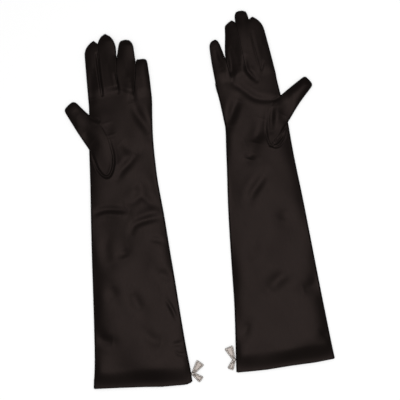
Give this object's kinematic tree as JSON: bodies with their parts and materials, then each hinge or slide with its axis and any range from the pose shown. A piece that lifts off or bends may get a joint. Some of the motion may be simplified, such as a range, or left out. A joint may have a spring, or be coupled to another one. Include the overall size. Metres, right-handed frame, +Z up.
{
  "type": "opera gloves",
  "caption": "Pair of long satin evening gloves lying palm up, with set-in thumbs, side strips in the fingers and a crystal bow at each hem.",
  "frame": {"origin": "on the table under the middle of the pair's bounding box", "axes": "+Z up out of the palms, +Y from the hems to the fingertips, +X from the left glove to the right glove"},
  "size_m": [0.3746, 0.5434, 0.01],
  "materials": {
    "satin": "smooth near-black satin with a soft sheen",
    "hem_satin": "satin turned up inside the hem",
    "silver": "polished pale metal",
    "crystal": "cut clear stones",
    "thread": "matt sewing thread"
  },
  "bodies": {
    "left_glove": {"left_palm_panel": "satin", "left_thumb_setting": "satin", "left_back_panel": "satin", "left_hem_palm_side": "hem_satin", "left_hem_back_side": "hem_satin", "left_bow_stitches": "thread"},
    "left_thumb": {"left_thumb_front": "satin", "left_thumb_back": "satin"},
    "left_index": {"left_index_front": "satin", "left_index_back": "satin", "left_index_fourchette_outward": "satin"},
    "left_middle": {"left_middle_front": "satin", "left_middle_back": "satin", "left_middle_fourchette_thumbward": "satin", "left_middle_fourchette_outward": "satin"},
    "left_ring": {"left_ring_front": "satin", "left_ring_back": "satin", "left_ring_fourchette_thumbward": "satin", "left_ring_fourchette_outward": "satin"},
    "left_little": {"left_little_front": "satin", "left_little_back": "satin", "left_little_fourchette_thumbward": "satin"},
    "left_bow": {"left_bow_knot": "crystal", "left_bow_back_plate": "silver", "left_bow_upper_frame": "silver", "left_bow_upper_stones": "crystal", "left_bow_lower_frame": "silver", "left_bow_lower_stones": "crystal"},
    "right_glove": {"right_palm_panel": "satin", "right_thumb_setting": "satin", "right_back_panel": "satin", "right_hem_palm_side": "hem_satin", "right_hem_back_side": "hem_satin", "right_bow_stitches": "thread"},
    "right_thumb": {"right_thumb_front": "satin", "right_thumb_back": "satin"},
    "right_index": {"right_index_front": "satin", "right_index_back": "satin", "right_index_fourchette_outward": "satin"},
    "right_middle": {"right_middle_front": "satin", "right_middle_back": "satin", "right_middle_fourchette_thumbward": "satin", "right_middle_fourchette_outward": "satin"},
    "right_ring": {"right_ring_front": "satin", "right_ring_back": "satin", "right_ring_fourchette_thumbward": "satin", "right_ring_fourchette_outward": "satin"},
    "right_little": {"right_little_front": "satin", "right_little_back": "satin", "right_little_fourchette_thumbward": "satin"},
    "right_bow": {"right_bow_knot": "crystal", "right_bow_back_plate": "silver", "right_bow_upper_frame": "silver", "right_bow_upper_stones": "crystal", "right_bow_lower_frame": "silver", "right_bow_lower_stones": "crystal"}
  },
  "joints": [
    {"name": "left_index_curl", "type": "hinge", "parent": "left_glove", "child": "left_index", "pos_m": [-0.1374, 0.16987, 0.01], "axis": [0.9999, -0.0131, 0], "range_deg": [0, 90]},
    {"name": "left_middle_curl", "type": "hinge", "parent": "left_glove", "child": "left_middle", "pos_m": [-0.11477, 0.16958, 0.01], "axis": [0.9999, -0.0131, 0], "range_deg": [0, 90]},
    {"name": "left_ring_curl", "type": "hinge", "parent": "left_glove", "child": "left_ring", "pos_m": [-0.09214, 0.16928, 0.01], "axis": [0.9999, -0.0131, 0], "range_deg": [0, 90]},
    {"name": "left_little_curl", "type": "hinge", "parent": "left_glove", "child": "left_little", "pos_m": [-0.06752, 0.16896, 0.01], "axis": [0.9999, -0.0131, 0], "range_deg": [0, 90]},
    {"name": "left_thumb_fold", "type": "hinge", "parent": "left_glove", "child": "left_thumb", "pos_m": [-0.15283, 0.11832, 0.01], "axis": [0.0888, 0.996, 0], "range_deg": [0, 90]},
    {"name": "left_bow_flip", "type": "hinge", "parent": "left_glove", "child": "left_bow", "pos_m": [-0.03956, -0.25869, 0.0056], "axis": [-0.0131, -0.9999, 0], "range_deg": [0, 110]},
    {"name": "right_index_curl", "type": "hinge", "parent": "right_glove", "child": "right_index", "pos_m": [0.12582, 0.17617, 0.01], "axis": [0.9999, 0.0131, 0], "range_deg": [0, 90]},
    {"name": "right_middle_curl", "type": "hinge", "parent": "right_glove", "child": "right_middle", "pos_m": [0.10319, 0.17588, 0.01], "axis": [0.9999, 0.0131, 0], "range_deg": [0, 90]},
    {"name": "right_ring_curl", "type": "hinge", "parent": "right_glove", "child": "right_ring", "pos_m": [0.08056, 0.17558, 0.01], "axis": [0.9999, 0.0131, 0], "range_deg": [0, 90]},
    {"name": "right_little_curl", "type": "hinge", "parent": "right_glove", "child": "right_little", "pos_m": [0.05595, 0.17526, 0.01], "axis": [0.9999, 0.0131, 0], "range_deg": [0, 90]},
    {"name": "right_thumb_fold", "type": "hinge", "parent": "right_glove", "child": "right_thumb", "pos_m": [0.14125, 0.12462, 0.01], "axis": [0.0888, -0.996, 0], "range_deg": [0, 90]},
    {"name": "right_bow_flip", "type": "hinge", "parent": "right_glove", "child": "right_bow", "pos_m": [0.02883, -0.24538, 0.0056], "axis": [-0.0131, 0.9999, 0], "range_deg": [0, 110]},
    {"name": "right_glove_lift", "type": "slide", "parent": "left_glove", "child": "right_glove", "axis": [0, 0, 1], "range_m": [0, 0.3]}
  ]
}
